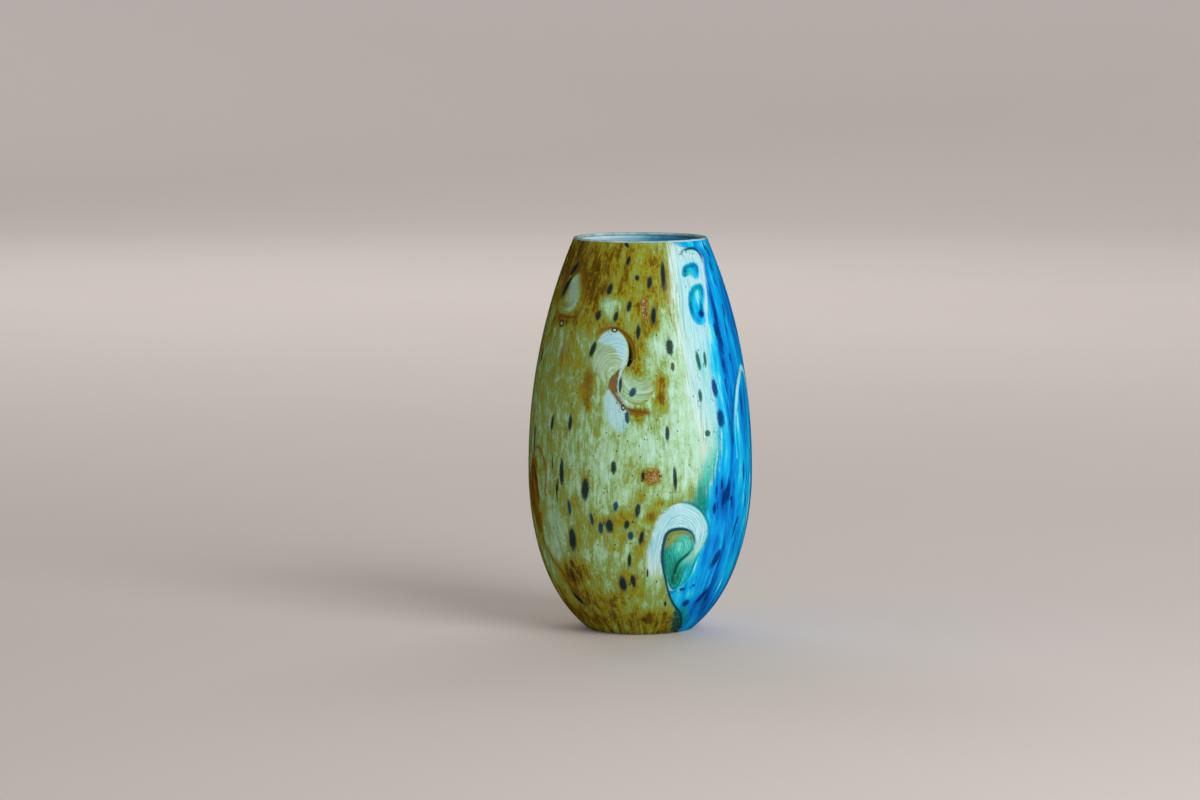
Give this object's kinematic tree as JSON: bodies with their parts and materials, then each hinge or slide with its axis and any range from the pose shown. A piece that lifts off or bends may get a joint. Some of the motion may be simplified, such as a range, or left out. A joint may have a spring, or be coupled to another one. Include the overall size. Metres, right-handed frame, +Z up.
{
  "type": "art glass vase",
  "caption": "Tall ovoid hand-blown vase for stems: pale blue lining, clear core with a ground foot, amber and blue colour coats with trailed swirls and dark chips.",
  "frame": {"origin": "centre of the ground foot, on the surface that the vase stands on", "axes": "+Z up along the vase's axis; -Y is the front; +X is to the right as seen from the front"},
  "size_m": [0.222, 0.222, 0.39],
  "materials": {
    "opal_lining_glass": "gloss",
    "clear_glass": "gloss",
    "rim_glass": "gloss",
    "amber_glass": "gloss",
    "pale_opal_glass": "gloss",
    "blue_glass": "gloss",
    "mint_opal_glass": "gloss",
    "teal_glass": "gloss",
    "brown_glass": "gloss",
    "navy_glass": "gloss",
    "copper_frit": "satin",
    "frit_glass": "gloss"
  },
  "bodies": {
    "root": {"opal_lining": "opal_lining_glass", "clear_core": "clear_glass", "rim_lip": "rim_glass", "amber_coat": "amber_glass", "pale_band": "pale_opal_glass", "blue_coat": "blue_glass", "back_pale_band": "pale_opal_glass", "hook_swirl": "mint_opal_glass", "hook_swirl_heart": "teal_glass", "s_swirl_dome": "mint_opal_glass", "s_swirl_vein": "brown_glass", "s_swirl_lobe": "pale_opal_glass", "left_shoulder_swirl": "mint_opal_glass", "left_belly_swirl": "brown_glass", "shoulder_pocket_upper": "blue_glass", "shoulder_pocket_lower": "navy_glass", "right_belly_hook": "pale_opal_glass", "back_amber_swirl": "mint_opal_glass", "back_blue_swirl": "pale_opal_glass", "brown_frit_patch": "brown_glass", "copper_frit_patch": "copper_frit", "frit_chip_01": "frit_glass", "frit_chip_02": "frit_glass", "frit_chip_03": "frit_glass", "frit_chip_04": "frit_glass", "frit_chip_05": "frit_glass", "frit_chip_06": "frit_glass", "frit_chip_07": "frit_glass", "frit_chip_08": "frit_glass", "frit_chip_09": "frit_glass", "frit_chip_10": "frit_glass", "frit_chip_11": "frit_glass", "frit_chip_12": "frit_glass", "frit_chip_13": "frit_glass", "frit_chip_14": "frit_glass", "frit_chip_15": "frit_glass", "frit_chip_16": "frit_glass", "frit_chip_17": "navy_glass", "frit_chip_18": "navy_glass", "frit_chip_19": "navy_glass", "frit_chip_20": "navy_glass", "frit_chip_21": "navy_glass", "frit_chip_22": "navy_glass", "frit_chip_23": "frit_glass", "frit_chip_24": "frit_glass"}
  },
  "joints": []
}
